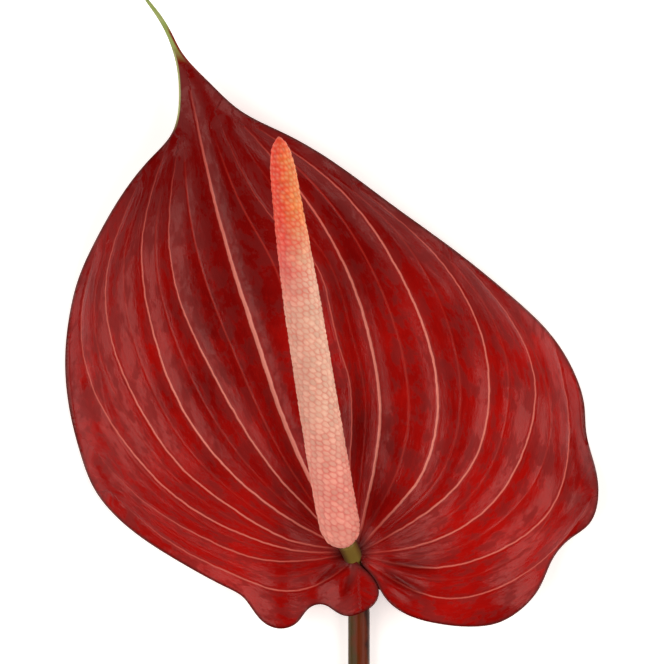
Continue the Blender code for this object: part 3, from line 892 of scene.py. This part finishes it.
def buildSpadix():
    look = spadix
    columns = look["around"] * look["samplesAround"]
    rings = look["rows"] * look["samplesAlong"]
    shares = np.linspace(0.0, 1.0, rings + 1)
    course = np.array(look["course"])
    knots = chordKnots(course)
    axis = cubic(knots, course, shares * knots[-1])
    tangents, sides, ups = squareTo(axis)
    profile = np.array(look["profile"])
    radii = np.interp(shares, profile[:, 0], profile[:, 1])
    middle, seam, own = floretLattice(shares, columns, radii, chordKnots(axis)[-1])
    knob = rise(shares, look["knobStart"], look["knobRun"])[:, None]
    dome = 1.0 - look["seamDepth"] * np.exp(-(seam / look["seamWidth"]) ** 2)
    dome -= look["doming"] * middle ** 2
    dome -= look["stigmaDepth"] * np.exp(-(middle / look["stigmaWidth"]) ** 2)
    ball = 2.0 * np.sqrt(np.clip(1.0 - (middle * look["knobWidth"]) ** 2, 0.0, 1.0)) - 1.0
    swell = dome * (1.0 - knob) + ball * knob + look["ownSwell"] * (own - 0.5)
    relief = look["reliefFoot"] + (look["reliefTip"] - look["reliefFoot"]) * shares
    relief = (relief * radii / max(radii))[:, None]
    column = np.arange(columns)[None, :] / columns
    turn = 2 * math.pi * (column + look["turns"] * shares[:, None])
    skin = roundAxis(axis, sides, ups, turn, radii[:, None] + relief * swell)
    verts = np.concatenate([axis[:1], skin, axis[-1:] + tangents[-1:] * look["tipRise"]])
    faces = []
    for r in range(rings):
        low = 1 + r * columns
        for c in range(columns):
            after = (c + 1) % columns
            faces.append((low + c, low + after, low + columns + after, low + columns + c))
    last = 1 + rings * columns
    for c in range(columns):
        after = (c + 1) % columns
        faces.append((0, 1 + after, 1 + c))
        faces.append((len(verts) - 1, last + c, last + after))

    def onEach(values, foot, tip):
        wide = np.broadcast_to(values, (rings + 1, columns)).ravel()
        return np.concatenate([[foot], wide, [tip]])

    seamLine = rise(seam, look["seamInk"], -look["seamInk"])
    crown = rise(middle, look["crownWidth"], -look["crownWidth"])
    crown *= look["crownAtFoot"] + (1.0 - look["crownAtFoot"]) * knob
    # How deep each point lies in the painted shade on the spike's left side.
    left = np.clip(0.5 - look["sideContrast"] * np.cos(turn), 0.0, 1.0)
    numbers = {
        "share": onEach(shares[:, None], 0.0, 1.0),
        "seam": onEach(seamLine, 0.0, 0.0),
        "crown": onEach(crown, 0.0, 0.0),
        "own": onEach(own, 0.5, 0.5),
        "left": onEach(left, 0.5, 0.5),
    }
    piece = makeMesh("spadixFlorets", verts, faces, numbers, home)
    piece.data.materials.append(spadixMaterial())
    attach(piece, "root")
    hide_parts("spadix")


buildSpadix()
print("spadix made")

stem = {
    "course": (
        (1.6, -286.0, 2.75), (0.2, -190.0, 2.75), (-0.9, -110.0, 2.75), (0.1, -52.0, 2.75),
        (0.0, -27.0, 2.8), (0.0, -16.0, 3.3), (-0.1, -9.0, 4.4), (-0.5, -3.5, 5.9),
        (-1.2, 0.4, 8.2), (-2.2, 3.0, 11.2), (-3.0, 4.6, 13.9), (-3.5, 5.4, 15.5),
    ),
    "radius": 2.75,
    "stipeRadius": 2.45,
    "stipe": (-14.0, 0.0),
    "sides": 40,
    "step": 0.7,
    "ridges": 11,
    "ridgeHeight": 0.03,
    "olive": (0.06, 0.036, 0.007),
    "brown": (0.125, 0.019, 0.004),
    # Painted shade along the stem's right flank.
    "flankShade": (0.03, 0.006, 0.004),
    "stipeGreen": (0.2, 0.14, 0.028),
    # Painted shade on both flanks of the stipe.
    "stipeFlankShade": (0.07, 0.025, 0.01),
    "cut": (0.42, 0.42, 0.20),
    "cutBundles": (0.22, 0.2, 0.08),
    # How far a face of the cut end looks down the stem.
    "cutFacing": -0.8,
    "stipeColour": (-1.5, 3.0),
    "streakStretch": (1.0, 0.06, 1.0),
    "streakNoise": (900.0, 4.0),
    "mottleNoise": (140.0, 4.0),
    "pitScale": 1800.0,
    "bundleScale": 1500.0,
    "streakBump": (0.00015, 0.5),
    "pitBump": (0.00005, 0.4),
    "bundleBump": (0.0001, 0.6),
    "roughness": (0.26, 0.4),
    "cutRoughness": (0.4, 0.6),
}


def stemMaterial():
    look = stem
    n = Nodes("stem_skin")
    place = n.place()
    streaks = n.noise(n.place(look["streakStretch"]), *look["streakNoise"])
    mottle = n.noise(place, *look["mottleNoise"])
    around = n.math("ADD", n.number("around"), n.span(mottle, -0.25, 0.25, *noiseSpan))
    # Around the stem the colour runs from olive on the left through brown to painted shade on the
    # right flank.
    colour = n.ramp(around, (0.12, look["olive"]), (0.42, look["brown"]), (0.8, look["brown"]),
                    (0.97, look["flankShade"]))
    colour = n.mix(n.span(streaks, 0.0, 0.45, 0.5, 0.75), colour, look["olive"])
    side = n.math("ABSOLUTE", n.math("SUBTRACT", n.number("around"), 0.5))
    # The stipe is painted darker towards both flanks as shade.
    stipe = n.mix(n.span(side, 0.0, 1.0, 0.2, 0.5), look["stipeGreen"], look["stipeFlankShade"])
    colour = n.mix(n.number("stipe"), colour, stipe)
    rough = n.span(mottle, *look["roughness"], *noiseSpan)
    normal = n.bump(streaks, *look["streakBump"])
    normal = n.bump(n.cells(place, look["pitScale"]), *look["pitBump"], normal)
    return n.finish(Base_Color=colour, Roughness=rough, Normal=normal, Specular_IOR_Level=0.12)


def cutMaterial():
    look = stem
    n = Nodes("stem_cut_face")
    bundles = n.span(n.cells(n.place(), look["bundleScale"]), 1.0, 0.0, 0.15, 0.4)
    colour = n.mix(bundles, look["cut"], look["cutBundles"])
    rough = n.span(bundles, *look["cutRoughness"])
    normal = n.bump(bundles, *look["bundleBump"])
    return n.finish(Base_Color=colour, Roughness=rough, Normal=normal)


def buildStem():
    axis = smoothLine(stem["course"], stem["step"])
    _, sides, ups = squareTo(axis)
    start, end = stem["stipe"]
    narrow = rise(axis[:, 1], start, end - start)
    radii = stem["radius"] + (stem["stipeRadius"] - stem["radius"]) * narrow
    turn = np.linspace(0, 2 * math.pi, stem["sides"], endpoint=False)[None, :]
    ridge = stem["ridgeHeight"] * (np.cos(stem["ridges"] * turn) - 1.0)
    skin = roundAxis(axis, sides, ups, turn, radii[:, None] + ridge)
    rings, count = len(axis), stem["sides"]
    verts = np.concatenate([skin, axis[:1], axis[-1:]])
    faces = []
    for r in range(rings - 1):
        for c in range(count):
            after = (c + 1) % count
            low, high = r * count, (r + 1) * count
            faces.append((low + c, low + after, high + after, high + c))
    body = len(faces)
    for c in range(count):
        after = (c + 1) % count
        faces.append((rings * count, after, c))
        faces.append((rings * count + 1, (rings - 1) * count + c, (rings - 1) * count + after))
    around = np.broadcast_to(np.clip(0.5 + 0.5 * np.cos(turn), 0, 1), (rings, count)).ravel()
    stipe = np.broadcast_to(rise(axis[:, 1:2], *stem["stipeColour"]), (rings, count)).ravel()
    numbers = {
        "around": np.concatenate([around, [0.5, 0.5]]),
        "stipe": np.concatenate([stipe, [0.0, 1.0]]),
    }
    piece = makeMesh("stemPeduncle", verts, faces, numbers, home)
    piece.data.materials.append(stemMaterial())
    piece.data.materials.append(cutMaterial())
    for polygon in list(piece.data.polygons)[body:]:
        if polygon.index > body and polygon.normal.y < stem["cutFacing"]:
            polygon.material_index = 1
            polygon.use_smooth = False
    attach(piece, "root")
    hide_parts("stem")


buildStem()
print("stem made")

view = {
    "photo": 664.0,
    "scale": 0.25,
    "junctionPixel": (359.0, 562.0),
    "distance": 1.6,
    "focusHeight": 13.0,
    "sensor": 36.0,
    "farthest": 20.0,
}


def buildCamera():
    middle = view["photo"] / 2
    x = (middle - view["junctionPixel"][0]) * view["scale"] * mm
    y = (view["junctionPixel"][1] - middle) * view["scale"] * mm
    data = bpy.data.cameras.new("camera")
    data.sensor_width = view["sensor"]
    wide = view["photo"] * view["scale"] * mm
    data.lens = view["sensor"] * (view["distance"] - view["focusHeight"] * mm) / wide
    data.clip_end = view["farthest"]
    camera = addObject("camera", data)
    camera.location = (home[0] + x, home[1] + y, view["distance"])
    bpy.context.scene.camera = camera


buildCamera()

studio = {
    "floorHalf": 4.0,
    "floorTones": ((0.90, 0.90, 0.90), (0.92, 0.92, 0.92)),
    "floorNoise": (60.0, 3.0),
    "floorRoughness": 0.9,
    "floorGlow": 0.5,
    "ambient": 0.03,
    "lampColour": (1.0, 0.9, 0.82),
    # How far up the bloom from the junction the lamps aim, in metres.
    "lampAim": 0.055,
    # Name, turn round the bloom, angle from straight overhead, distance, size and watts.
    "softboxes": (
        ("softboxLeft", 190.0, 46.0, 1.0, (1.0, 0.9), 9.0),
        ("softboxRight", -14.0, 50.0, 1.0, (1.0, 0.8), 8.5),
        ("softboxTop", 60.0, 66.0, 1.2, (0.8, 0.4), 3.0),
    ),
}


def addSoftbox(name, angle, tilt, distance, size, power):
    data = bpy.data.lights.new(name, "AREA")
    data.shape = "RECTANGLE"
    data.size, data.size_y = size
    data.energy = power
    data.color = studio["lampColour"]
    lamp = addObject(name, data)
    turn, lean = math.radians(angle), math.radians(tilt)
    centre = Vector((home[0], home[1] + studio["lampAim"], 0.0))
    flat = math.sin(lean)
    away = Vector((math.cos(turn) * flat, math.sin(turn) * flat, math.cos(lean)))
    lamp.location = centre + away * distance
    lamp.rotation_euler = away.to_track_quat("Z", "Y").to_euler()


def floorMaterial():
    n = Nodes("floor_white")
    grain = n.noise(n.place(), *studio["floorNoise"])
    colour = n.mix(n.span(grain, 0.0, 1.0, *noiseSpan), *studio["floorTones"])
    return n.finish(Base_Color=colour, Roughness=studio["floorRoughness"], Specular_IOR_Level=0.0,
                    Emission_Color=(1.0, 1.0, 1.0), Emission_Strength=studio["floorGlow"])


def buildStudio():
    shell = bmesh.new()
    bmesh.ops.create_grid(shell, x_segments=1, y_segments=1, size=studio["floorHalf"])
    mesh = bpy.data.meshes.new("floor")
    shell.to_mesh(mesh)
    shell.free()
    floor = addObject("floor", mesh)
    floor.data.materials.append(floorMaterial())
    world = bpy.data.worlds.new("studio")
    world.use_nodes = True
    background = world.node_tree.nodes["Background"].inputs
    background["Color"].default_value = (1.0, 1.0, 1.0, 1.0)
    background["Strength"].default_value = studio["ambient"]
    bpy.context.scene.world = world
    bpy.context.scene.view_settings.view_transform = "Standard"
    for softbox in studio["softboxes"]:
        addSoftbox(*softbox)


buildStudio()
print("studio made")
